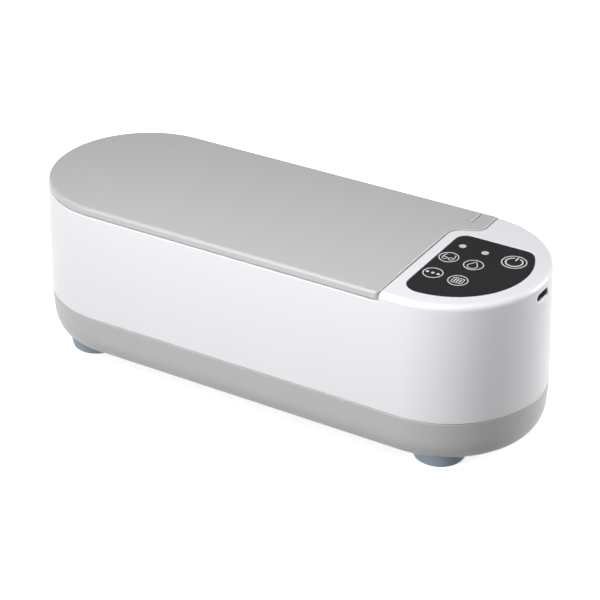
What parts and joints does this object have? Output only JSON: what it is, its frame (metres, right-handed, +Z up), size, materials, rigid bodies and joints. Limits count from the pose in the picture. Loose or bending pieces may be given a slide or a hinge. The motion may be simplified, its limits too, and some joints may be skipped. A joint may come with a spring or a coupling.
{
  "type": "portable ultrasonic cleaner",
  "caption": "Long round-ended ultrasonic cleaner with a hinged lid over a steel tank, a touch panel at one end and silicone feet.",
  "frame": {"origin": "on the floor, under the middle of the body", "axes": "+X along the body towards the control panel, +Y towards the hinge side, +Z up"},
  "size_m": [0.205, 0.0746, 0.0674],
  "materials": {
    "white_plastic": "fine satin moulding, slightly glossy",
    "grey_plastic": "satin moulding",
    "lid_plastic": "satin moulding with a fine texture",
    "liner_plastic": "smooth",
    "foot_silicone": "matte silicone",
    "seal_silicone": "matte silicone",
    "gasket_rubber": "matte",
    "tank_steel": "drawn and lightly brushed",
    "screw_steel": "zinc plated",
    "socket_steel": "plated",
    "cast_aluminium": "machined",
    "piezo_ceramic": "fired ceramic with a silvered face",
    "red_wire": "soft insulation",
    "black_wire": "soft insulation",
    "black_plastic": "moulded",
    "cell_wrap": "shrink wrap",
    "contact_brass": "plated spring brass",
    "circuit_board": "solder mask",
    "ferrite": "sintered",
    "winding_tape": "polyester tape",
    "capacitor_sleeve": "shrink sleeve",
    "connector_nylon": "natural nylon",
    "led_body": "epoxy",
    "ribbon_grey": "flat cable",
    "panel_black": "glossy touch panel",
    "icon_print": "screen print",
    "light_pipe": "frosted"
  },
  "bodies": {
    "body": {"base_shell": "grey_plastic", "base_screws": "screw_steel", "foot_front_left": "foot_silicone", "foot_front_right": "foot_silicone", "foot_rear_left": "foot_silicone", "foot_rear_right": "foot_silicone", "housing": "white_plastic", "tank": "tank_steel", "tank_gasket": "gasket_rubber", "tank_screws": "screw_steel", "coupling_disc": "cast_aluminium", "piezo_disc": "piezo_ceramic", "piezo_leads": "red_wire", "battery_cradle": "black_plastic", "battery_cell": "cell_wrap", "battery_contacts": "contact_brass", "battery_leads": "black_wire", "main_board": "circuit_board", "main_board_chips": "black_plastic", "transformer_core": "ferrite", "transformer_winding": "winding_tape", "capacitors": "capacitor_sleeve", "power_transistor": "black_plastic", "heat_sink": "cast_aluminium", "board_connectors": "connector_nylon", "main_board_screws": "screw_steel", "touch_board": "circuit_board", "touch_controller": "black_plastic", "touch_springs": "contact_brass", "status_leds": "led_body", "touch_board_screws": "screw_steel", "ribbon_cable": "ribbon_grey", "usb_socket": "socket_steel", "usb_tongue": "black_plastic", "control_panel": "panel_black", "panel_icons": "icon_print", "power_light_pipe": "light_pipe", "charge_light_pipe": "light_pipe", "hinge_pin_left": "screw_steel", "hinge_pin_right": "screw_steel"},
    "lid": {"lid_cover": "lid_plastic", "lid_liner": "liner_plastic", "lid_seal": "seal_silicone", "liner_screws": "screw_steel"}
  },
  "joints": [
    {"name": "lid_hinge", "type": "hinge", "parent": "body", "child": "lid", "pos_m": [0, 0.0355, 0.0641], "axis": [-1, 0, 0], "range_deg": [0, 100]}
  ]
}
